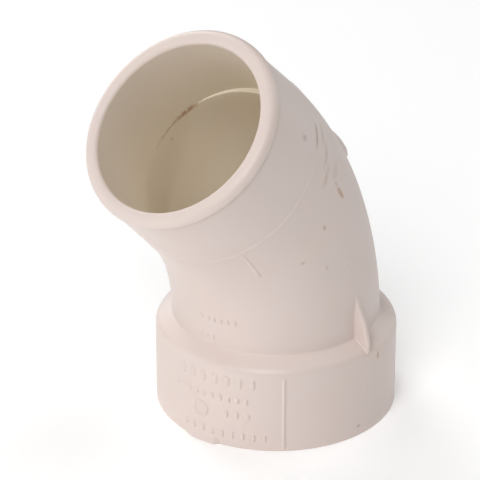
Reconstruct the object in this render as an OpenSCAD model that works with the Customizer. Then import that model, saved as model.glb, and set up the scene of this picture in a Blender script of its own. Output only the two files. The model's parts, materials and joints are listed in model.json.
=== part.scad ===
// 45 degree street elbow for 1-1/2 inch solvent-welded PVC pipe.
// The hub (female end) stands on z = 0 with its axis on +Z. The spigot (male end)
// leans 45 degrees towards +X. The origin is the centre of the hub's mouth.
// The real fitting is one moulding: each node below is one region or one raised
// feature of it, and neighbours meet face to face.

/* [Hub] */
// Outer radius of the hub
hub_r = 28.8; // [28:0.1:30]
// Height of the hub's straight outer wall
hub_h = 20.5; // [19.5:0.1:21.5]
// Radius of the socket that takes the pipe
socket_r = 24.2; // [24.15:0.01:24.3]
// Depth of the socket, from the mouth to the pipe stop
socket_depth = 17.5; // [16:0.1:18.5]
// Height of the bevelled shoulder above the hub, where it meets the bend
shoulder = 3.6; // [3:0.1:4.4]

/* [Bend] */
// Height at which the hub's axis and the spigot's axis cross
cross_z = 47.9; // [47.5:0.1:49]
// Outer radius of the bend's wall
body_r = 24.6; // [24.3:0.1:25]
// Radius of the waterway through the bend
bore_r = 20.2; // [20:0.05:20.4]

/* [Spigot] */
// Outer radius of the spigot, the same as the pipe's
spigot_r = 24.13; // [24.1:0.01:24.16]
// Distance from the axes' crossing to the face of the rim
rim_at = 48.3; // [46:0.1:50]
// Radius on the outer edge of the rim
rim_round = 1.7; // [0.6:0.1:2]
// Radius on the inner edge of the rim
lip_round = 0.8; // [0.4:0.1:1.2]
// Radius of the bore at the spigot's end
spigot_bore_r = 20.6; // [20.5:0.05:20.8]

/* [Raised features] */
// Height of ridges and moulded marks above the surface
relief = 0.35; // [0.2:0.05:0.5]
// Width of an alignment ridge
ridge_w = 0.9; // [0.6:0.1:1.4]
// Thickness of each gusset fin
fin_t = 1.8; // [1.2:0.1:2.4]
// Height above the mouth at which each gusset fin runs out
fin_top = 34.5; // [33:0.5:39]

/* [Hidden] */
$fn = 96;

// The spigot leans this far from the hub's axis
bend_angle = 45;
// The bend curves all the way from the top of the hub's wall to the spigot's seam, and
// its two ends are this far from the point where the axes cross
tangent = cross_z - hub_h;
bend_r = tangent / tan(bend_angle / 2);
// How much narrower the shoulder gets for each millimetre of its height
bevel = (hub_r - body_r) / shoulder;
// The pipe stop is let this far into the hub's wall
stop_seat = 1;
// Cuts run on this far past the faces they open
overcut = 1;
// Radius on the outer edge of the hub's mouth
mouth_round = 0.5;
// Width of the seam ring, and how far it stands out from the bend
seam_w = 0.7;
seam_out = 0.12;
// Length of the rim's node along the spigot
rim_len = 2.4;
// Features stop this far short of the top of the hub's wall
wall_gap = 0.3;
// Angles of the alignment ridges round both axes, from the throat
ridge_angles = [45, 225];
// Where the ridges on the bend start and end, in degrees of turn
bend_ridge = [33.5, 44.5];
// Angles of the gussets and of the fine mould lines
side_angles = [90, 270];
// The outer edge of a gusset: how far it leans in, and at what height above the wall
fin_edge = [[0, 0], [0, 2.8], [0.9, 7], [2.5, 10.6]];
// Width and height of a mould line
line_w = 0.5;
line_out = 0.12;
// Where the mould lines on the bend start and end, in degrees of turn
bend_line = [15, 24];
// Each row of bars on the hub: height above the mouth, height of a bar, how many bars
// there are, and the angle from one to the next
hub_rows = [[15.6, 3.4, 8, 6.4], [11.9, 1.9, 10, 4.6], [7.2, 3, 3, 12], [2.4, 2.6, 9, 5.4]];
// The middle of the hub's rows, from the throat
rows_middle = 4;
// Share of its step that a bar fills
bar_share = 0.62;
// Each row of bars on the bend: where it starts in degrees of turn, and how many
// bars there are
bend_rows = [[12.5, 6], [8.5, 3]];
// Height of those bars in degrees of turn, the angle of the first, and the step
bend_bar = [2.2, 6, 5];
// The gate's remains: where they start and end in degrees of turn, the angle round the
// wall from the heel, and the radius
nub_turn = [26, 31];
nub_angle = 19;
nub_r = 2.3;
// The flash: where it starts and ends round the mouth, and its height
flash_arc = [-12, 14];
flash_h = 0.8;
// The moulding's colour
plastic = [0.93, 0.91, 0.87];

// Moves a shape from the hub's frame to the spigot's: +Z then runs out along the
// spigot's axis, from the point where the two axes cross.
module on_spigot() {
    translate([0, 0, cross_z]) rotate([0, bend_angle, 0]) children();
}

// Sweeps a section along the bend, from one angle of turn to another. The section's
// +X points away from the centre of the bend, so its left side is the throat.
module sweep(from, to) {
    translate([bend_r, 0, hub_h]) rotate([90, 0, 0]) rotate([0, 0, 180 - to])
        rotate_extrude(angle = to - from, $fn = 192) translate([bend_r, 0]) children();
}

// The section of a raised band on the bend. Angles run round the wall from the
// throat, positive towards +Y.
module band(from, to, out) {
    intersection() {
        difference() {
            circle(r = body_r + out);
            circle(r = body_r);
        }
        reach = 2 * body_r;
        polygon([[0, 0], for (a = [from, (from + to) / 2, to]) reach * [-cos(a), -sin(a)]]);
    }
}

// A ring about +Z between two heights
module ring(r_out, r_in, z0, z1) {
    translate([0, 0, z0]) difference() {
        cylinder(r = r_out, h = z1 - z0);
        translate([0, 0, -overcut]) cylinder(r = r_in, h = z1 - z0 + 2 * overcut);
    }
}

// A raised patch on the hub's wall between two heights and two angles
module patch(from, to, z0, z1, out) {
    rotate([0, 0, from]) rotate_extrude(angle = to - from)
        translate([hub_r, z0]) square([out, z1 - z0]);
}

// The hub's wall, with a small radius on the outer edge of the mouth and a seat for the
// pipe stop
module hub_wall() {
    edge = hub_r - mouth_round;
    seat = socket_r + stop_seat;
    color(plastic) rotate_extrude() {
        translate([seat, socket_depth]) square([hub_r - seat, hub_h - socket_depth]);
        translate([socket_r, mouth_round])
            square([hub_r - socket_r, socket_depth - mouth_round]);
        translate([socket_r, 0]) square([edge - socket_r, mouth_round]);
        intersection() {
            translate([edge, mouth_round]) circle(r = mouth_round);
            translate([edge, 0]) square(mouth_round);
        }
    }
}

// The step at the bottom of the socket that the pipe's end meets
module pipe_stop() {
    color(plastic) ring(socket_r + stop_seat, bore_r, socket_depth, hub_h);
}

// The bevel between the hub's wall and the bend
module hub_shoulder() {
    reach = shoulder + overcut / 2;
    color(plastic) difference() {
        translate([0, 0, hub_h]) cylinder(r1 = hub_r, r2 = hub_r - bevel * reach, h = reach);
        sweep(0, bend_angle / 3) circle(r = body_r);
    }
}

// The curved wall from the hub to the spigot's seam
module bend_body() {
    color(plastic) sweep(0, bend_angle) difference() {
        circle(r = body_r);
        circle(r = bore_r);
    }
}

// The thin raised line between the bend and the spigot
module seam_ring() {
    color(plastic) on_spigot() ring(body_r + seam_out, bore_r, tangent, tangent + seam_w);
}

// The straight wall of the spigot
module spigot_sleeve() {
    color(plastic) on_spigot() ring(spigot_r, spigot_bore_r, tangent + seam_w, rim_at - rim_len);
}

// The spigot's end, with a radius on its outer edge and a smaller one on its inner edge
module spigot_rim() {
    outer = spigot_r - rim_round;
    inner = spigot_bore_r + lip_round;
    color(plastic) on_spigot() translate([0, 0, rim_at]) rotate_extrude() {
        translate([inner, -rim_len]) square([outer - inner, rim_len]);
        translate([outer, -rim_len]) square([rim_round, rim_len - rim_round]);
        translate([spigot_bore_r, -rim_len]) square([lip_round, rim_len - lip_round]);
        intersection() {
            translate([outer, -rim_round]) circle(r = rim_round);
            translate([outer, -rim_round]) square(rim_round);
        }
        intersection() {
            translate([inner, -lip_round]) circle(r = lip_round);
            translate([spigot_bore_r, -lip_round]) square(lip_round);
        }
    }
}

// A web on the +Y side that ties the shoulder to the bend. Its outer edge leans in
// more and more, until it runs out on the bend.
module gusset() {
    buried = body_r - 3;
    slope = 5;
    edge = [for (p = fin_edge) [hub_r - p[0], hub_h + p[1]]];
    difference() {
        translate([-fin_t / 2, 0, 0]) rotate([90, 0, 90]) linear_extrude(fin_t)
            polygon(concat([[buried, hub_h]], edge, [[buried, fin_top + slope]]));
        translate([0, 0, hub_h]) cylinder(r1 = hub_r, r2 = body_r, h = shoulder);
        sweep(0, bend_angle) circle(r = body_r);
    }
}

module gusset_near() { color(plastic) gusset(); }

module gusset_far() { color(plastic) mirror([0, 1, 0]) gusset(); }

// Upright lines on the hub's wall, for lining a joint up
module hub_ridges() {
    half = ridge_w / 2 / hub_r * 180 / PI;
    color(plastic) for (a = ridge_angles)
        patch(a - half, a + half, mouth_round, hub_h - wall_gap, relief);
}

// Short lines on the bend below the seam, above the hub's lines
module bend_ridges() {
    half = ridge_w / 2 / body_r * 180 / PI;
    color(plastic) for (a = ridge_angles)
        sweep(bend_ridge[0], bend_ridge[1]) band(a - half, a + half, relief);
}

// Fine lines above and below the gussets, where two parts of the mould met
module side_ridges() {
    on_hub = line_w / 2 / hub_r * 180 / PI;
    on_bend = line_w / 2 / body_r * 180 / PI;
    color(plastic) for (a = side_angles) {
        sweep(bend_line[0], bend_line[1]) band(a - on_bend, a + on_bend, line_out);
        patch(a - on_hub, a + on_hub, mouth_round, hub_h - wall_gap, line_out);
    }
}

// Rows of plain raised bars round the hub
module hub_marks() {
    color(plastic) for (row = hub_rows, i = [0 : row[2] - 1]) {
        start = rows_middle + (i - row[2] / 2) * row[3];
        patch(start, start + row[3] * bar_share, row[0], row[0] + row[1], relief);
    }
}

// Two rows of plain raised bars on the throat side of the bend
module bend_marks() {
    color(plastic) for (row = bend_rows, i = [0 : row[1] - 1]) {
        start = bend_bar[1] + i * bend_bar[2];
        sweep(row[0], row[0] + bend_bar[0]) band(start, start + bend_bar[2] * bar_share, relief);
    }
}

// What is left of the gate, on the outside of the bend
module gate_nub() {
    color(plastic) difference() {
        sweep(nub_turn[0], nub_turn[1])
            rotate(-nub_angle) translate([body_r - nub_r / 2, 0]) circle(r = nub_r);
        sweep(nub_turn[0] - overcut, nub_turn[1] + overcut) circle(r = body_r);
    }
}

// A trace of flash on the outer edge of the mouth, under the throat
module mouth_flash() {
    color(plastic)
        patch(flash_arc[0], flash_arc[1], mouth_round, mouth_round + flash_h, 2 * relief);
}

hub_wall();
pipe_stop();
hub_shoulder();
bend_body();
seam_ring();
spigot_sleeve();
spigot_rim();
gusset_near();
gusset_far();
hub_ridges();
bend_ridges();
side_ridges();
hub_marks();
bend_marks();
gate_nub();
mouth_flash();
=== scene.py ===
import json
import math

import bmesh
import bpy
import numpy as np
from mathutils import Matrix, Vector


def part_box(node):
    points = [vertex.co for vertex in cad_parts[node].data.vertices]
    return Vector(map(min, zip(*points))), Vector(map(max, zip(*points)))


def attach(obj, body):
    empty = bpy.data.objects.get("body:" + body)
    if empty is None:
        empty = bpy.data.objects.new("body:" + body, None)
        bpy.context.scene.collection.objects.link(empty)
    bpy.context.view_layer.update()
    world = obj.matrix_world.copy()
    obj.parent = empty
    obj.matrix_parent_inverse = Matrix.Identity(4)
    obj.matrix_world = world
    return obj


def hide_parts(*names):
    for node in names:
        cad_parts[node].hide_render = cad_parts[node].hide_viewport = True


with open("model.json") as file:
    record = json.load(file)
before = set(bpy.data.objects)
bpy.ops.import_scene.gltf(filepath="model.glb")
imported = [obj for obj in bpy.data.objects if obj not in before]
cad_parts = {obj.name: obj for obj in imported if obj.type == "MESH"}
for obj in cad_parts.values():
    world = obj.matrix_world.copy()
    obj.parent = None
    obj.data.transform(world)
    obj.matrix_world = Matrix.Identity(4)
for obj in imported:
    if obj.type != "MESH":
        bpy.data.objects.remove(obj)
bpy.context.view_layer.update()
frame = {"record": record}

# A 45 degree street elbow in white PVC, one injection moulding. Each piece below is one
# region or one raised feature of it. Lengths are in millimetres until a mesh is made.
MM = 0.001

# ---------------------------------------------------------------- sizes from the frame
mounts = {m["name"]: m for m in frame["record"]["mounts"]}
socket, spigot = mounts["hub_socket"], mounts["spigot"]
HUB_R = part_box("hub_wall")[1].x / MM
HUB_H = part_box("hub_wall")[1].z / MM
SOCKET_R = socket["dims"]["r_mm"]
SOCKET_DEPTH = socket["dims"]["length_mm"]
SPIGOT_R = spigot["dims"]["r_mm"]
STOP_R = -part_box("pipe_stop")[0].x / MM
# The spigot's axis crosses the hub's at this height, and leans this far
BEND = math.atan2(spigot["axis"][0], spigot["axis"][2])
CROSS_Z = (spigot["pos_m"][2] - spigot["pos_m"][0] / math.tan(BEND)) / MM
# The bend touches both axes at this distance from the crossing
TANGENT = CROSS_Z - HUB_H
BEND_R = TANGENT / math.tan(BEND / 2)
ARC = BEND_R * BEND
# Distances along the waterway, from the top of the hub's wall
SPIGOT_MIDDLE = ARC + spigot["pos_m"][0] / MM / math.sin(BEND) - TANGENT
STRAIGHT = spigot["dims"]["length_mm"]
SEAM_END = SPIGOT_MIDDLE - STRAIGHT / 2
BEAD_AT = SPIGOT_MIDDLE + STRAIGHT / 2

# ---------------------------------------------------------------- sizes of the moulding
AROUND = 192                    # faces round a wall
LEAD_IN = 0.7                   # round on the socket's mouth, for the pipe to find
MOUTH_EDGE = 0.2                # round on the mouth's outer edge
STOP_BORE_R = 20.2              # the waterway inside the socket's step
STOP_EASE = 0.5
JOINT = SOCKET_DEPTH - HUB_H    # the hub's wall and the shoulder meet here
BLEND_AT = 7.0                  # above this height level rows turn into slanted ones
BODY_LOW_R = SPIGOT_R + 0.62    # the bend's wall above the shoulder
BODY_HIGH_R = SPIGOT_R + 0.32   # and below the seam
SEAM_CREST_R = BODY_HIGH_R + 0.08
FLARE_R = SPIGOT_R + 0.26       # the spigot where it leaves the seam
WAIST_R = SPIGOT_R - 0.1        # and where it is narrowest, behind its bead
RIM_AT = BEAD_AT + 1.7          # the rim's face
RIM_FROM = RIM_AT - 4.0
HOLLOW = 2.6                    # the hollow behind the bead lies this far from that face
BEAD_R = SPIGOT_R + 0.15        # the bead that the rim rolls out into
RIM_ROUND = 2.0                 # radius on the rim's outer edge
LIP_ROUND = 0.9                 # and on its inner edge
BORE_R = 20.6                   # the spigot's bore
BORE_SHIFT = (0.3, 0.0)         # which sits a little towards the throat
LEDGE_AT = ARC - 1.8            # the bore's core ended here
CORE_R = 20.43                  # the bend's own core, which sat off centre by this much
CORE_OFF = 1.66
CORE_WAY = math.radians(-34)
RELIEF = 0.35                   # height of the guide lines
HALF_WEB = 0.6                  # half the thickness of a gusset

angles = np.arange(AROUND) * 2 * math.pi / AROUND


# ---------------------------------------------------------------- shape
def place(along, angle, radius, shift=(0.0, 0.0)):
    """Points on a round wall: along runs up the waterway from the top of the hub's wall,
    angle is taken from the throat towards +Y, and shift moves the wall off the centre."""
    turn = np.clip(along / BEND_R, 0, BEND)
    out = np.maximum(along - ARC, 0)
    below = np.minimum(along, 0)
    across = radius * np.cos(angle) + shift[0]
    side = radius * np.sin(angle) + shift[1]
    x = BEND_R * (1 - np.cos(turn)) + out * np.sin(turn) + across * np.cos(turn)
    z = HUB_H + BEND_R * np.sin(turn) + out * np.cos(turn) + below - across * np.sin(turn)
    return np.stack([x, side + 0 * x, z], -1)


def level(height, angle, radius):
    """How far along a point of the wall lies, when it is this high above the hub's wall."""
    if height <= 0:
        return height + 0 * angle
    return BEND_R * np.arcsin(height / (BEND_R - radius * np.cos(angle)))


def smooth(x, low, high):
    """Runs from 0 to 1 between low and high, flat at both ends."""
    t = np.clip((np.asarray(x, float) - low) / (high - low), 0, 1)
    return t * t * (3 - 2 * t)


def fade(x, low, high, rise, fall):
    """1 between low and high, with soft ends of these lengths inside them."""
    return float(smooth(x, low, low + rise) * smooth(x, high, high - fall))


def rounded(corners, steps=7):
    """A closed outline from (x, y, radius) corners, with an arc on each that has a radius."""
    outline = []
    for i, (x, y, radius) in enumerate(corners):
        here = np.array((x, y), float)
        if radius == 0:
            outline.append(here)
            continue
        back = np.array(corners[i - 1][:2]) - here
        on = np.array(corners[(i + 1) % len(corners)][:2]) - here
        back, on = back / np.linalg.norm(back), on / np.linalg.norm(on)
        half = math.acos(back @ on) / 2
        middle = (back + on) / np.linalg.norm(back + on)
        centre = here + middle * radius / math.sin(half)
        start = here + back * radius / math.tan(half) - centre
        end = here + on * radius / math.tan(half) - centre
        swing = math.pi - 2 * half
        for t in np.linspace(0, 1, steps):
            mixed = start * math.sin((1 - t) * swing) + end * math.sin(t * swing)
            outline.append(centre + mixed / math.sin(swing))
    return outline


def reach(radius, shift):
    """How far a round wall that sits off centre lies from the centre, in every direction."""
    ahead = shift[0] * np.cos(angles) + shift[1] * np.sin(angles)
    aside = shift[1] * np.cos(angles) - shift[0] * np.sin(angles)
    return ahead + np.sqrt(radius ** 2 - aside ** 2)


def bend_radius(share):
    """The bend's outer radius, from the top of the shoulder (0) to the seam (1)."""
    starts, settled = -0.1, 0.45
    return BODY_LOW_R + (BODY_HIGH_R - BODY_LOW_R) * smooth(share, starts, settled)


def wall_radius(along, angle):
    """The bend's outer radius at one point of it."""
    start = level(BLEND_AT, np.array(angle), BODY_LOW_R)
    return float(bend_radius((along - start) / (ARC - start)))


# The shoulder, as (radius, height above the hub's wall): a wide round, then a small hollow
shoulder = rounded([
    (HUB_R, JOINT, 0),
    (HUB_R, 0.2, 2.6),
    (BODY_LOW_R, 3.0, 0.6),
    (BODY_LOW_R, BLEND_AT, 0),
], 12)


def outer_radius(height):
    """The radius of the outside of the hub, the shoulder or the low bend, at a height."""
    heights = [h for r, h in shoulder]
    return np.interp(height, heights, [r for r, h in shoulder])


def bore_bounce_share(points):
    """How much painted bounce light the colour gets: 1 deep in the waterway, less towards its lip,
    and 0 outside it, for points in mm.
    """
    x, y, z = points[:, 0], points[:, 1], points[:, 2]
    turn = np.clip(np.arctan2(z - HUB_H, BEND_R - x), 0, BEND)
    centre_x = BEND_R * (1 - np.cos(turn))
    centre_z = HUB_H + BEND_R * np.sin(turn)
    across = (x - centre_x) * np.cos(turn) - (z - centre_z) * np.sin(turn)
    core_wall, bore_wall = CORE_R + CORE_OFF + 0.2, BORE_R + BORE_SHIFT[0] + 0.05
    wall = np.where(turn < BEND, core_wall, bore_wall)
    edge = 0.4
    inside = 1 - smooth(np.hypot(across, y) - wall, 0, edge)
    beyond = (x - centre_x) * np.sin(turn) + (z - centre_z) * np.cos(turn)
    depth = RIM_AT - ARC - beyond
    at_lip, deep = 0.5, 14
    tone = at_lip + (1 - at_lip) * smooth(depth, 0, deep)
    return inside * tone * smooth(depth, 0.2, LIP_ROUND)


# ---------------------------------------------------------------- meshes
def show(name, data):
    """An object in the scene that holds this mesh, camera or lamp."""
    obj = bpy.data.objects.new(name, data)
    bpy.context.scene.collection.objects.link(obj)
    return obj


def finish_piece(obj, *nodes):
    """Marks how much painted bounce light the material gives a piece's bore, and puts the piece in
    its body, its material slot and its CAD nodes' place."""
    points = np.array([v.co for v in obj.data.vertices]) / MM
    # The bore attribute carries the painted bounce light of the waterway
    bore = obj.data.attributes.new("bore", "FLOAT", "POINT")
    bore.data.foreach_set("value", bore_bounce_share(points).astype(np.float32))
    obj.data.materials.clear()
    obj.data.materials.append(pvc)
    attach(obj, "root")
    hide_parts(*nodes)


def mesh_piece(name, points, faces, *nodes, crease=30):
    """A piece from points in millimetres, with edges sharper than crease left crisp."""
    mesh = bpy.data.meshes.new(name)
    mesh.from_pydata((np.asarray(points) * MM).tolist(), [], faces)
    shape = bmesh.new()
    shape.from_mesh(mesh)
    bmesh.ops.recalc_face_normals(shape, faces=shape.faces)
    shape.to_mesh(mesh)
    shape.free()
    mesh.shade_smooth()
    mesh.set_sharp_from_angle(angle=math.radians(crease))
    finish_piece(show(name, mesh), *nodes)


def loft(name, rows, *nodes, ends=False, crease=30):
    """A skin over rows of points, each row a closed loop. With ends the two end loops are
    capped, and without them the last row joins the first."""
    count, size = len(rows), len(rows[0])
    last = count - 1 if ends else count
    faces = [
        [i * size + j, i * size + (j + 1) % size,
         (i + 1) % count * size + (j + 1) % size, (i + 1) % count * size + j]
        for i in range(last) for j in range(size)
    ]
    if ends:
        faces += [list(range(size)), list(range((count - 1) * size, count * size))]
    mesh_piece(name, np.concatenate(rows), faces, *nodes, crease=crease)


def ring_rows(outline, bore_shift=(0.0, 0.0)):
    """Rows of a ring from its (radius, along) outline; its bore may sit off centre."""
    rows = []
    for radius, along in outline:
        inside = 1 - float(smooth(radius, BORE_R + LIP_ROUND, SPIGOT_R - RIM_ROUND))
        shift = (bore_shift[0] * inside, bore_shift[1] * inside)
        rows.append(place(along + 0 * angles, angles, radius, shift))
    return rows


# A raised line's section: how far across it a point lies, and its share of the height
ROUND_TOP = [(-1.5, -0.25), (-1.12, 0.0), (-0.95, 0.3), (-0.8, 0.72), (-0.55, 0.95),
             (0, 1), (0.55, 0.95), (0.8, 0.72), (0.95, 0.3), (1.12, 0.0), (1.5, -0.25)]
SOFT_TOP = [(-1.6, -0.3), (-1.2, 0.0), (-0.85, 0.28), (-0.5, 0.72), (-0.22, 0.95),
            (0, 1), (0.22, 0.95), (0.5, 0.72), (0.85, 0.28), (1.2, 0.0), (1.6, -0.3)]
WEB_TOP = [(-1.8, -0.02), (-1.45, 0.01), (-1.2, 0.05), (-1.05, 0.15), (-1.0, 0.35),
           (-0.97, 0.7), (-0.88, 0.9), (-0.6, 0.98), (0, 1), (0.6, 0.98), (0.88, 0.9),
           (0.97, 0.7), (1.0, 0.35), (1.05, 0.15), (1.2, 0.05), (1.45, 0.01), (1.8, -0.02)]
BURIED = 0.5          # a raised feature's underside lies this deep in the wall
SINKS_AT = 0.05       # where it is lower than this, it dips into the wall
THINNEST = 0.02


def raised(name, stations, *nodes, section=ROUND_TOP, crease=30):
    """A raised feature on the wall. Each station is (along, angle, radius, half width,
    height), and the section is carried from one station to the next."""
    rows = []
    for along, angle, radius, half, height in stations:
        foot = radius + min(height - SINKS_AT, 0)
        row = [(angle + x * half / radius, foot + share * max(height, THINNEST))
               for x, share in section]
        ends = [(row[-1][0], radius - BURIED), (row[0][0], radius - BURIED)]
        rows.append(np.array([place(along, a, r) for a, r in row + ends]))
    loft(name, rows, *nodes, ends=True, crease=crease)


# ---------------------------------------------------------------- nodes
def add(tree, kind, settings=None, **links):
    """Adds one node: settings are its own properties and unlinked inputs, links its wires.
    An input is named by its label, with _ for a space, or by its number as i0, i1."""
    node = tree.nodes.new(kind)

    def socket_named(key):
        if key[0] == "i" and key[1:].isdigit():
            return node.inputs[int(key[1:])]
        return node.inputs[key.replace("_", " ")]

    for key, value in (settings or {}).items():
        if hasattr(node, key):
            setattr(node, key, value)
        else:
            socket_named(key).default_value = value
    for key, source in links.items():
        tree.links.new(source, socket_named(key))
    return node


def linear(code, alpha=1.0):
    """The linear colour of an sRGB hex value."""
    parts = [int(code[i:i + 2], 16) / 255 for i in (1, 3, 5)]
    return [c / 12.92 if c <= 0.04045 else ((c + 0.055) / 1.055) ** 2.4 for c in parts] + [alpha]


# ---------------------------------------------------------------- material
# The moulding's two whites, and the cream painted into the bore for the warm light bounced inside
# it
PVC_COOL = "#e0d2cd"
PVC_WARM = "#e3d2c8"
PVC_BORE_BOUNCE = "#f2e6d2"
RUST = "#a87538"
# Grime for the handling marks, and also the colour of the painted shade in the hollow behind the
# rim's bead
GRIME_AND_HOLLOW_SHADE = "#9c8266"
# Handling marks: (along, angle in degrees, radius, length along, width round the wall,
# how strong, colour)
MARKS = [
    (39.5, 109, 24.6, 4.8, 1.6, 0.8, RUST),
    (42.3, 110, 24.6, 2.0, 0.9, 0.4, RUST),
    (33.0, 158, 25.6, 1.6, 3.0, 0.9, RUST),
    (58.1, 117, 24.2, 3.0, 2.2, 0.4, GRIME_AND_HOLLOW_SHADE),
    (52.4, 125, 24.5, 1.0, 9.0, 0.7, GRIME_AND_HOLLOW_SHADE),
    (49.8, 129, 24.5, 2.0, 7.5, 0.28, GRIME_AND_HOLLOW_SHADE),
    (48.3, 118, 24.5, 1.8, 8.5, 0.32, GRIME_AND_HOLLOW_SHADE),
    (46.6, 108, 24.5, 1.8, 7.0, 0.3, GRIME_AND_HOLLOW_SHADE),
    (43.8, 116, 24.5, 3.0, 6.0, 0.2, GRIME_AND_HOLLOW_SHADE),
    (38.8, 87.3, 24.5, 1.6, 1.2, 0.45, RUST),
    (34.6, 67, 24.6, 1.2, 1.2, 0.4, RUST),
    (28.0, 78.4, 24.7, 1.8, 1.0, 0.4, RUST),
    (2.0, 100, 27.5, 1.2, 2.2, 0.6, RUST),
    (-1.6, 96.6, 28.8, 2.6, 1.2, 0.6, RUST),
    (-17.9, 83, 28.8, 1.2, 1.6, 0.5, GRIME_AND_HOLLOW_SHADE),
    (50.0, 243, 20.4, 1.8, 10.0, 0.75, RUST),
    (50.0, 262, 20.4, 0.9, 10.0, 0.4, RUST),
    (46.8, 262, 20.4, 1.2, 1.2, 0.45, RUST),
    (22.0, 200, 24.9, 12.0, 1.6, 0.3, GRIME_AND_HOLLOW_SHADE),
    (-9.0, 215, 28.8, 7.0, 1.4, 0.35, GRIME_AND_HOLLOW_SHADE),
]


def add_mark(tree, coords, broken, colour, mark):
    """Lays one handling mark over a colour, and gives the new colour."""
    along, degrees, radius, length, width, strength, code = mark
    angle = math.radians(degrees)
    centre = place(along, angle, radius)
    nudge, depth = 0.02, 3.0
    ahead = Vector(place(along + 1, angle, radius) - centre).normalized()
    side = Vector(place(along, angle + nudge, radius) - centre).normalized()
    out = ahead.cross(side).normalized()
    local = add(tree, "ShaderNodeMapping", {
        "vector_type": "TEXTURE", "Location": Vector(centre) * MM,
        "Rotation": Matrix((ahead, side, out)).transposed().to_euler(),
        "Scale": Vector((length, width, depth)) / 2 * MM}, Vector=coords)
    away = add(tree, "ShaderNodeVectorMath", {"operation": "LENGTH"}, Vector=local.outputs[0])
    near = add(tree, "ShaderNodeMapRange", {
        "interpolation_type": "SMOOTHSTEP", "From Min": 1.2, "From Max": 0.2,
        "To Max": strength}, Value=away.outputs["Value"])
    amount = add(tree, "ShaderNodeMath", {"operation": "MULTIPLY"},
                 i0=near.outputs[0], i1=broken.outputs[0])
    stained = add(tree, "ShaderNodeMix", {"data_type": "RGBA", "i7": linear(code)},
                  i0=amount.outputs[0], i6=colour)
    return stained.outputs[2]


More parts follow.
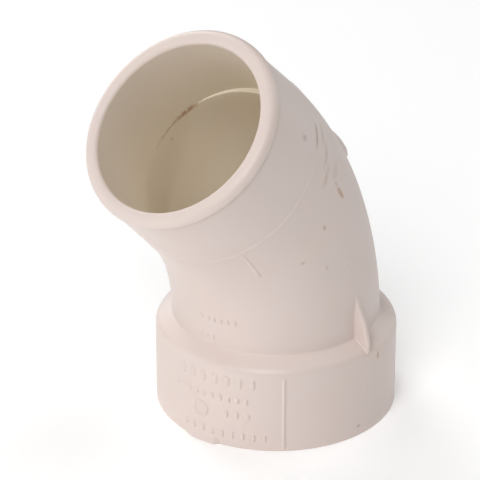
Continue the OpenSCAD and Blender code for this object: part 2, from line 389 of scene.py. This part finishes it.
def moulded_pvc():
    """Rigid PVC straight from a polished steel mould: an opaque white, faintly pink outside, with
    painted cream in the bore for the warm light bounced inside it, a satin sheen, soft clouding
    where the melt flowed, a faint skin texture, the scuffs and smudges of a bin of fittings, and
    painted shade in the hollow behind the rim's bead."""
    material = bpy.data.materials.new("moulded_rigid_pvc")
    material.use_nodes = True
    tree = material.node_tree
    tree.nodes.clear()
    coords = add(tree, "ShaderNodeTexCoord").outputs["Object"]

    # Flow clouding, about 14 mm across, between a cooler and a creamier white
    cloud = add(tree, "ShaderNodeTexNoise", {
        "Scale": 1 / (14 * MM), "Detail": 3.0}, Vector=coords)
    tone = add(tree, "ShaderNodeMix", {
        "data_type": "RGBA", "i6": linear(PVC_COOL), "i7": linear(PVC_WARM)},
        i0=cloud.outputs["Fac"])
    # Painted bounce light: the bore gets a cream colour, stronger deeper in, that stands in for
    # the warm light bounced around inside the waterway
    bore = add(tree, "ShaderNodeAttribute", {"attribute_name": "bore"})
    painted_bounce = add(tree, "ShaderNodeMix", {"data_type": "RGBA", "i7": linear(PVC_BORE_BOUNCE)},
                 i0=bore.outputs["Fac"], i6=tone.outputs[2])
    colour = painted_bounce.outputs[2]

    # Smudges keep to ragged patches, because grit about 1 mm across breaks them up
    grit = add(tree, "ShaderNodeTexNoise", {
        "Scale": 1 / (1.1 * MM), "Detail": 4.0, "Roughness": 0.65}, Vector=coords)
    broken = add(tree, "ShaderNodeMapRange", {
        "From Min": 0.34, "From Max": 0.52}, Value=grit.outputs["Fac"])
    for mark in MARKS:
        colour = add_mark(tree, coords, broken, colour, mark)

    # Painted shade: a thin patchy darker ring in the hollow behind the rim's bead, outside the
    # bore only
    axis = (math.sin(BEND), 0, math.cos(BEND))
    hollow = (CROSS_Z * math.cos(BEND) + TANGENT + RIM_AT - ARC - HOLLOW) * MM
    height = add(tree, "ShaderNodeVectorMath", {"operation": "DOT_PRODUCT", "i1": axis}, i0=coords)
    away = add(tree, "ShaderNodeMath", {"operation": "SUBTRACT", "i1": hollow},
               i0=height.outputs["Value"])
    gap = add(tree, "ShaderNodeMath", {"operation": "ABSOLUTE"}, i0=away.outputs[0])
    ring = add(tree, "ShaderNodeMapRange", {
        "interpolation_type": "SMOOTHSTEP", "From Min": 0.55 * MM, "From Max": 0.1 * MM,
        "To Max": 0.4}, Value=gap.outputs[0])
    outside = add(tree, "ShaderNodeMath", {
        "operation": "MULTIPLY_ADD", "use_clamp": True, "i1": -5, "i2": 1},
        i0=bore.outputs["Fac"])
    shade_outside_bore = add(tree, "ShaderNodeMath", {"operation": "MULTIPLY"},
                 i0=ring.outputs[0], i1=outside.outputs[0])
    patchy = add(tree, "ShaderNodeTexNoise", {
        "Scale": 1 / (7 * MM), "Detail": 2.0}, Vector=coords)
    amount = add(tree, "ShaderNodeMath", {"operation": "MULTIPLY"},
                 i0=shade_outside_bore.outputs[0], i1=patchy.outputs["Fac"])
    hollow_shaded = add(tree, "ShaderNodeMix", {"data_type": "RGBA", "i7": linear(GRIME_AND_HOLLOW_SHADE)},
                 i0=amount.outputs[0], i6=colour)

    # The mould's skin: a fine grain, drawn at 0.5 mm so that it shows, over a slow ripple
    # about 9 mm long where the wall shrank
    grain = add(tree, "ShaderNodeTexNoise", {
        "Scale": 1 / (0.5 * MM), "Detail": 2.0}, Vector=coords)
    ripple = add(tree, "ShaderNodeTexNoise", {
        "Scale": 1 / (9 * MM), "Detail": 1.0}, Vector=coords)
    slow = add(tree, "ShaderNodeBump", {
        "Strength": 0.25, "Distance": 0.35 * MM}, Height=ripple.outputs["Fac"])
    fine = add(tree, "ShaderNodeBump", {
        "Strength": 0.3, "Distance": 0.02 * MM}, Height=grain.outputs["Fac"],
        Normal=slow.outputs["Normal"])
    sheen = add(tree, "ShaderNodeMapRange", {
        "From Min": 0.3, "From Max": 0.7, "To Min": 0.38, "To Max": 0.5},
        Value=cloud.outputs["Fac"])
    shader = add(tree, "ShaderNodeBsdfPrincipled", {"IOR": 1.53},
                 Base_Color=hollow_shaded.outputs[2], Roughness=sheen.outputs[0],
                 Normal=fine.outputs["Normal"])
    add(tree, "ShaderNodeOutputMaterial", Surface=shader.outputs["BSDF"])
    return material


# ---------------------------------------------------------------- camera
def direction(bearing, rise):
    """The way towards a bearing from +X, in degrees, and a height above the level."""
    turn, up = math.radians(bearing), math.radians(rise)
    return Vector((math.cos(up) * math.cos(turn), math.cos(up) * math.sin(turn), math.sin(up)))


def make_camera():
    """A long lens, a little above the object, looking between the throat and one side."""
    bearing, rise = 41.32, 26.75
    # Measured in hub radii: the aim's height, its step to the left, and the distance
    aim_height, aim_left, distance = 1.414, 0.2998, 23
    unit = HUB_R * MM
    aim = Vector((0, 0, aim_height * unit)) - direction(bearing + 90, 0) * aim_left * unit
    back = direction(bearing, rise)
    data = bpy.data.cameras.new("camera")
    data.sensor_width = 36
    data.lens = 210.56
    data.clip_start = 0.01
    camera = show("camera", data)
    camera.location = aim + back * distance * unit
    camera.rotation_euler = (-back).to_track_quat("-Z", "Y").to_euler()
    bpy.context.scene.camera = camera


# ---------------------------------------------------------------- pieces
def make_hub():
    """The straight wall round the socket, with a lead-in at its mouth."""
    outline = rounded([
        (SOCKET_R, -HUB_H, LEAD_IN),
        (HUB_R, -HUB_H, MOUTH_EDGE),
        (HUB_R, JOINT, 0),
        (SOCKET_R, JOINT, 0),
    ])
    loft("hub_and_socket", ring_rows(outline), "hub_wall")


def make_pipe_stop():
    """The step that the pipe's end meets, with its inner edge eased."""
    outline = rounded([
        (STOP_BORE_R, JOINT, STOP_EASE),
        (STOP_R, JOINT, 0),
        (STOP_R, 0, 0),
        (STOP_BORE_R, 0, 0),
    ])
    loft("socket_step", ring_rows(outline), "pipe_stop")


def make_bend():
    """The shoulder and the curved wall. Its inside changes from the spigot's bore to the
    bend's own at a ledge, and the two don't quite line up, so the ledge is a crescent."""
    flat = 0 * angles
    rows = [place(level(h, angles, r), angles, r) for r, h in shoulder]
    start = level(BLEND_AT, angles, BODY_LOW_R)
    for share in np.linspace(0, 1, 60)[1:]:
        rows.append(place(start + (ARC - start) * share, angles, bend_radius(share)))
    bore = reach(BORE_R, BORE_SHIFT)
    rows.append(place(ARC + flat, angles, bore))
    # The ledge, whose two edges are eased by about 0.1 mm
    off = np.array((math.cos(CORE_WAY), math.sin(CORE_WAY))) * CORE_OFF
    above, within, below = 0.1, 0.06, 0.15
    rows.append(place(LEDGE_AT + above + flat, angles, bore))
    rows.append(place(LEDGE_AT + flat, angles, np.minimum(bore, reach(CORE_R, off) + within)))
    # Where the core reached past the bore, the wall widens to it slowly
    widening = 0.045
    for share in np.linspace(1, 0, 40):
        ease = float(smooth(share, 0, 1))
        core = reach(STOP_BORE_R + (CORE_R - STOP_BORE_R) * ease, off * ease)
        widest = bore + (1 - share) * ARC * widening
        rows.append(place((LEDGE_AT - below) * share + flat, angles, np.minimum(core, widest)))
    rows.append(place(flat, angles, STOP_R))
    rows.append(place(JOINT + flat, angles, STOP_R))
    loft("shoulder_and_bend", rows, "hub_shoulder", "bend_body")


def make_seam():
    """The low raised line where two parts of the mould met."""
    crest_at = ARC + 0.35 * (SEAM_END - ARC)
    outline = rounded([
        (BORE_R, ARC, 0),
        (BODY_HIGH_R, ARC, 0),
        (SEAM_CREST_R, crest_at, 0.2),
        (FLARE_R, SEAM_END, 0),
        (BORE_R, SEAM_END, 0),
    ])
    loft("seam_line", ring_rows(outline, BORE_SHIFT), "seam_ring")


def make_spigot():
    """The straight wall of the spigot, which narrows a little towards its end."""
    narrow_at = RIM_FROM - 2
    outline = [(BORE_R, SEAM_END)]
    for along in np.linspace(SEAM_END, RIM_FROM, 24):
        swell = 1 - float(smooth(along, SEAM_END, narrow_at))
        outline.append((WAIST_R + (FLARE_R - WAIST_R) * swell, along))
    outline.append((BORE_R, RIM_FROM))
    loft("spigot_wall", ring_rows(outline, BORE_SHIFT), "spigot_sleeve")


def make_rim():
    """The spigot's end: a bead with a hollow behind it and a full round on its edge."""
    outline = rounded([
        (BORE_R, RIM_FROM, 0),
        (WAIST_R, RIM_FROM, 0),
        (WAIST_R - 0.06, RIM_AT - HOLLOW - 0.2, 0.5),
        (BEAD_R, RIM_AT - HOLLOW + 0.3, 0.4),
        (BEAD_R, RIM_AT, RIM_ROUND),
        (BORE_R, RIM_AT, LIP_ROUND),
        (BORE_R, RIM_AT - 1.0, 0),
    ], 12)
    loft("spigot_rim_bead", ring_rows(outline, BORE_SHIFT), "spigot_rim")


def web_stations(way):
    """Where one gusset runs, up the side that way points to, 1 for +Y and -1 for -Y."""
    # Its outer edge leans in, less at first than later: (how far in from the hub's wall,
    # height)
    edge = rounded([
        (0.1, -1.5, 0), (0.2, 3.0, 6), (1.3, 7.5, 14), (2.8, 10.6, 20), (5.3, 16.6, 0)], 8)
    lean_in = [p[0] for p in edge]
    heights = [p[1] for p in edge]
    ends_below = 0.3        # it stops this deep in the wall
    stations = []
    for height in np.linspace(0.2, 16.2, 44):
        out = HUB_R - float(np.interp(height, heights, lean_in))
        radius = float(outer_radius(height))
        if out <= radius - ends_below:
            continue
        # It stands upright, so its angle on the leaning wall is found step by step
        angle = math.pi / 2
        for _ in range(3):
            along = float(level(height, np.array(angle), radius))
            across = -BEND_R * (1 / math.cos(along / BEND_R) - 1)
            angle = math.acos(across / radius)
        stations.append((along, way * angle, radius, HALF_WEB, out - radius))
    return stations


def make_webs():
    """The two gussets that tie the shoulder to the bend, one on each side."""
    raised("web_near", web_stations(1), "gusset_near", section=WEB_TOP, crease=50)
    raised("web_far", web_stations(-1), "gusset_far", section=WEB_TOP, crease=50)


def make_guide_lines():
    """The guides for lining a joint up, on two opposite sides of the hub and the bend."""
    half = 0.45
    hub_turn, bend_turn = math.radians(0.6), math.radians(1.7)
    hub_rise = [(-20.0, 0), (-19.8, 0.7), (-19.4, 1), (-1.9, 1), (-1.3, 0.6), (-1.0, 0)]
    bend_from, bend_relief = 37.0, 0.65 * RELIEF
    for name, degrees in (("near", 45), ("far", 225)):
        angle = math.radians(degrees)
        raised(f"guide_line_hub_{name}", [
            (along, angle - hub_turn, HUB_R, half, RELIEF * share) for along, share in hub_rise
        ], "hub_ridges", section=SOFT_TOP)
        raised(f"guide_line_bend_{name}", [
            (along, angle - bend_turn, wall_radius(along, angle), half,
             bend_relief * fade(along, bend_from, ARC, 1.0, 1.5))
            for along in np.linspace(bend_from, ARC, 40)
        ], "bend_ridges", section=SOFT_TOP)


def make_parting_lines():
    """Fine traces of the mould's parting, up both sides and up the heel."""
    half, side_relief, heel_relief = 0.25, 0.1, 0.12
    hub_rise = [(-20.0, 0), (-19.6, 1), (-2.2, 1), (-1.6, 0)]
    low, high = 17, 31      # between the gusset's top and the smooth upper bend
    for name, degrees in (("near", 90), ("far", 270)):
        angle = math.radians(degrees)
        raised(f"parting_line_hub_{name}", [
            (along, angle, HUB_R, half, side_relief * share) for along, share in hub_rise
        ], "side_ridges")
        raised(f"parting_line_bend_{name}", [
            (along, angle, wall_radius(along, angle), half,
             side_relief * fade(along, low, high, 1, 3))
            for along in np.linspace(low, high, 24)
        ], "side_ridges")
    heel_from = 8
    raised("parting_line_heel", [
        (along, math.pi, wall_radius(along, math.pi), half,
         heel_relief * fade(along, heel_from, ARC, 1, 1))
        for along in np.linspace(heel_from, ARC, 60)
    ], "side_ridges")


def make_gate_nub():
    """The rounded pad that the broken-off gate left on the heel."""
    low, high, angle = 30.8, 37.6, math.radians(159)
    narrow, swell = 0.4, 2.3        # half width at the ends, and what the middle adds
    tall, foot, tilt = 1.65, 0.1, 0.35
    stations = []
    for t in np.linspace(-1, 1, 25):
        share = (t + 1) / 2
        along = low + (high - low) * share
        bulge = (1 - abs(t) ** 2.6) ** (1 / 2.2)
        height = tall * bulge * (1 - tilt * share) - foot
        stations.append((along, angle, wall_radius(along, math.pi),
                         narrow + swell * bulge, height))
    raised("gate_pad", stations, "gate_nub", crease=60)


def make_flash():
    """A thin curl of flash on the mouth's outer edge."""
    low, high = -12, 13.5
    rows = []
    for degrees in np.linspace(low, high, 30):
        t = fade(degrees, -9, high, 9, 2.5)
        outline = [(-0.4, 0.03), (0.0, 0.03), (0.85 * t, 0.06), (1.02 * t, 0.2),
                   (0.85 * t, 0.6), (0.5 * t, 1.2), (0.2 * t, 1.9), (0.0, 2.6), (-0.4, 2.7)]
        rows.append(np.array([
            place(z - HUB_H, math.radians(degrees), HUB_R + out) for out, z in outline
        ]))
    loft("mouth_flash_curl", rows, "mouth_flash", ends=True, crease=50)


# ---------------------------------------------------------------- moulded bars
def bar_row_tree():
    """Geometry Nodes: one row of raised bars round an upright wall. The bars' widths vary,
    as the widths of moulded characters do, but they are plain bars."""
    tree = bpy.data.node_groups.new("bar_row", "GeometryNodeTree")
    sockets = [("Bar", "NodeSocketGeometry"), ("Count", "NodeSocketInt"),
               ("Step", "NodeSocketFloat"), ("Start", "NodeSocketFloat"),
               ("Radius", "NodeSocketFloat"), ("Height", "NodeSocketFloat"),
               ("Narrowest", "NodeSocketFloat"), ("Seed", "NodeSocketInt"),
               ("Material", "NodeSocketMaterial")]
    for name, kind in sockets:
        tree.interface.new_socket(name, in_out="INPUT", socket_type=kind)
    tree.interface.new_socket("Row", in_out="OUTPUT", socket_type="NodeSocketGeometry")
    given = tree.nodes.new("NodeGroupInput").outputs
    line = add(tree, "GeometryNodeMeshLine", Count=given["Count"])
    index = add(tree, "GeometryNodeInputIndex").outputs[0]
    turned = add(tree, "ShaderNodeMath", {"operation": "MULTIPLY_ADD"},
                 i0=index, i1=given["Step"], i2=given["Start"]).outputs[0]
    cosine = add(tree, "ShaderNodeMath", {"operation": "COSINE"}, i0=turned).outputs[0]
    sine = add(tree, "ShaderNodeMath", {"operation": "SINE"}, i0=turned).outputs[0]
    x = add(tree, "ShaderNodeMath", {"operation": "MULTIPLY"}, i0=cosine, i1=given["Radius"])
    y = add(tree, "ShaderNodeMath", {"operation": "MULTIPLY"}, i0=sine, i1=given["Radius"])
    spot = add(tree, "ShaderNodeCombineXYZ", X=x.outputs[0], Y=y.outputs[0], Z=given["Height"])
    points = add(tree, "GeometryNodeSetPosition", Geometry=line.outputs[0],
                 Position=spot.outputs[0])
    facing = add(tree, "ShaderNodeCombineXYZ", Z=turned)
    width = add(tree, "FunctionNodeRandomValue", {"data_type": "FLOAT", "i3": 1.0},
                i2=given["Narrowest"], Seed=given["Seed"])
    size = add(tree, "ShaderNodeCombineXYZ", {"X": 1.0, "Z": 1.0}, Y=width.outputs[1])
    bars = add(tree, "GeometryNodeInstanceOnPoints", Points=points.outputs[0],
               Instance=given["Bar"], Rotation=facing.outputs[0], Scale=size.outputs[0])
    solid = add(tree, "GeometryNodeRealizeInstances", Geometry=bars.outputs[0])
    painted = add(tree, "GeometryNodeSetMaterial", Geometry=solid.outputs[0],
                  Material=given["Material"])
    add(tree, "NodeGroupOutput", Row=painted.outputs[0])
    return tree


def bar_mesh(width, tall, out):
    """One pillow-shaped bar, which lies on a wall that faces +X and stands out this far."""
    sunk, edge = 1.2, 1.0
    shape = bmesh.new()
    bmesh.ops.create_cube(shape, size=1)
    for v in shape.verts:
        x = v.co.x * (out + sunk) + (out - sunk) / 2
        v.co = Vector((x, v.co.y * width, v.co.z * tall)) * MM
    top = [e for e in shape.edges if all(v.co.x > 0 for v in e.verts)]
    sides = [e for e in shape.edges
             if e not in top and any(v.co.x > 0 for v in e.verts)]
    bmesh.ops.bevel(shape, geom=top + sides, offset=edge * MM, segments=8, profile=0.5,
                    affect="EDGES", clamp_overlap=True)
    mesh = bpy.data.meshes.new("bar")
    shape.to_mesh(mesh)
    shape.free()
    mesh.shade_smooth()
    return mesh


def bar_row(name, node, tree, bar, spread, radius, height, seed, move):
    """Evaluates one row of bars, and makes the result a plain piece in its place. A bar is
    (width, height, relief), and the spread is (count, step, start) in degrees."""
    count, step, start = spread
    carrier = show(f"{name}_carrier", bar_mesh(*bar))
    modifier = carrier.modifiers.new("row", "NODES")
    modifier.node_group = tree
    values = {"Count": count, "Step": math.radians(step), "Start": math.radians(start),
              "Radius": radius * MM, "Height": height * MM, "Narrowest": 0.6,
              "Seed": seed, "Material": pvc}
    for item in tree.interface.items_tree:
        if item.item_type == "SOCKET" and item.in_out == "INPUT" and item.name in values:
            modifier[item.identifier] = values[item.name]
    graph = bpy.context.evaluated_depsgraph_get()
    made = bpy.data.meshes.new_from_object(carrier.evaluated_get(graph))
    bpy.data.objects.remove(carrier)
    made.name = name
    made.transform(move)
    made.set_sharp_from_angle(angle=math.radians(50))
    finish_piece(show(name, made), node)


def make_bars():
    """Rows of plain raised bars where the real moulding has lettering."""
    tree = bar_row_tree()
    hub_relief, bend_relief = 0.34, 0.3
    # name, bar width and height, (count, step, start), middle above the mouth, seed
    hub_rows = [
        ("marking_row_top", 2.3, 3.2, (7, 6.3, -8), 17.3, 3),
        ("marking_row_second", 1.5, 1.9, (10, 4.3, -12), 12.6, 5),
        ("marking_row_third", 1.7, 2.4, (3, 5.2, 17), 8.7, 8),
        ("marking_row_low", 1.8, 2.4, (9, 5.2, -6), 3.2, 13),
    ]
    for name, width, tall, spread, height, seed in hub_rows:
        bar_row(name, "hub_marks", tree, (width, tall, hub_relief), spread, HUB_R, height,
                seed, Matrix.Identity(4))
    # On the bend each row lies in a plane that leans with it, this far along
    bend_rows = [
        ("marking_row_bend_upper", 1.5, 2.0, (6, 4.2, -1), 16.8, 21),
        ("marking_row_bend_lower", 1.5, 1.8, (3, 4.2, -3), 8.6, 34),
    ]
    for name, width, tall, spread, along, seed in bend_rows:
        turn = along / BEND_R
        centre = Vector((BEND_R * (1 - math.cos(turn)), 0, HUB_H + BEND_R * math.sin(turn)))
        move = Matrix.Translation(centre * MM) @ Matrix.Rotation(turn, 4, "Y")
        count, step, start = spread
        radius = wall_radius(along, math.radians(start + step * count / 2))
        bar_row(name, "bend_marks", tree, (width, tall, bend_relief), spread, radius, 0,
                seed, move)


def make_round_mark():
    """A plain raised ring among the bars."""
    middle, height = math.radians(3), -12.2
    big, thin, relief = 1.9, 0.3, 0.28
    section = [(-1.4, -0.3), (-1, 0.02), (-0.6, 0.8), (0, 1), (0.6, 0.8), (1, 0.02), (1.4, -0.3)]
    rows = []
    for t in np.linspace(0, 2 * math.pi, 40, endpoint=False):
        row = []
        for across, share in section:
            r = big + across * thin
            row.append(place(height + r * math.sin(t), middle + r * math.cos(t) / HUB_R,
                             HUB_R + share * relief))
        rows.append(np.array(row))
    loft("round_mark", rows, "hub_marks", crease=60)


# ---------------------------------------------------------------- studio
LAMP_AWAY, LAMP_WIDE = 1.2, 0.7
FLOOR_GLOW = 0.16
# Soft white disks: name, bearing from +X towards +Y, height in degrees, watts
LAMPS = [
    ("front_panel", 25, 45, 8.6),
    ("far_left_panel", -110, 45, 3.8),
    ("low_left_panel", -110, 15, 3.3),
    ("top_panel", 130, 72, 2.3),
    ("back_right_panel", 170, 15, 2.1),
    ("left_panel", -50, 15, 2.0),
    ("low_front_panel", -20, 15, 1.7),
    ("back_panel", 160, 45, 0.8),
]


def make_floor():
    """A wide sheet of matt paper, which glows a little so that it stays near white."""
    span = 4.0
    corners = [(-span, -span, 0), (span, -span, 0), (span, span, 0), (-span, span, 0)]
    mesh = bpy.data.meshes.new("floor")
    mesh.from_pydata(corners, [], [(0, 1, 2, 3)])
    floor = show("floor", mesh)
    paper = bpy.data.materials.new("matt_white_paper")
    paper.use_nodes = True
    surface = paper.node_tree.nodes["Principled BSDF"]
    surface.inputs["Base Color"].default_value = linear("#fbfbfb")
    surface.inputs["Roughness"].default_value = 0.9
    surface.inputs["Specular IOR Level"].default_value = 0.1
    surface.inputs["Emission Color"].default_value = linear("#ffffff")
    surface.inputs["Emission Strength"].default_value = FLOOR_GLOW
    mesh.materials.append(paper)


def make_lights():
    """Soft light from the lamps alone, strongest at the front. The sky gives none."""
    world = bpy.data.worlds.new("studio")
    bpy.context.scene.world = world
    world.use_nodes = True
    world.node_tree.nodes["Background"].inputs["Strength"].default_value = 0
    aim = Vector((0.01, 0, 0.05))
    for name, bearing, rise, watts in LAMPS:
        data = bpy.data.lights.new(name, "AREA")
        data.shape = "DISK"
        data.size = LAMP_WIDE
        data.energy = watts
        away = direction(bearing, rise)
        lamp = show(name, data)
        lamp.location = aim + away * LAMP_AWAY
        lamp.rotation_euler = (-away).to_track_quat("-Z", "Y").to_euler()
    bpy.context.scene.view_settings.view_transform = "Standard"


# ---------------------------------------------------------------- the scene
make_camera()
pvc = moulded_pvc()
make_hub()
make_pipe_stop()
make_bend()
make_seam()
make_spigot()
make_rim()
make_webs()
make_guide_lines()
make_parting_lines()
make_gate_nub()
make_flash()
make_bars()
make_round_mark()
make_floor()
make_lights()
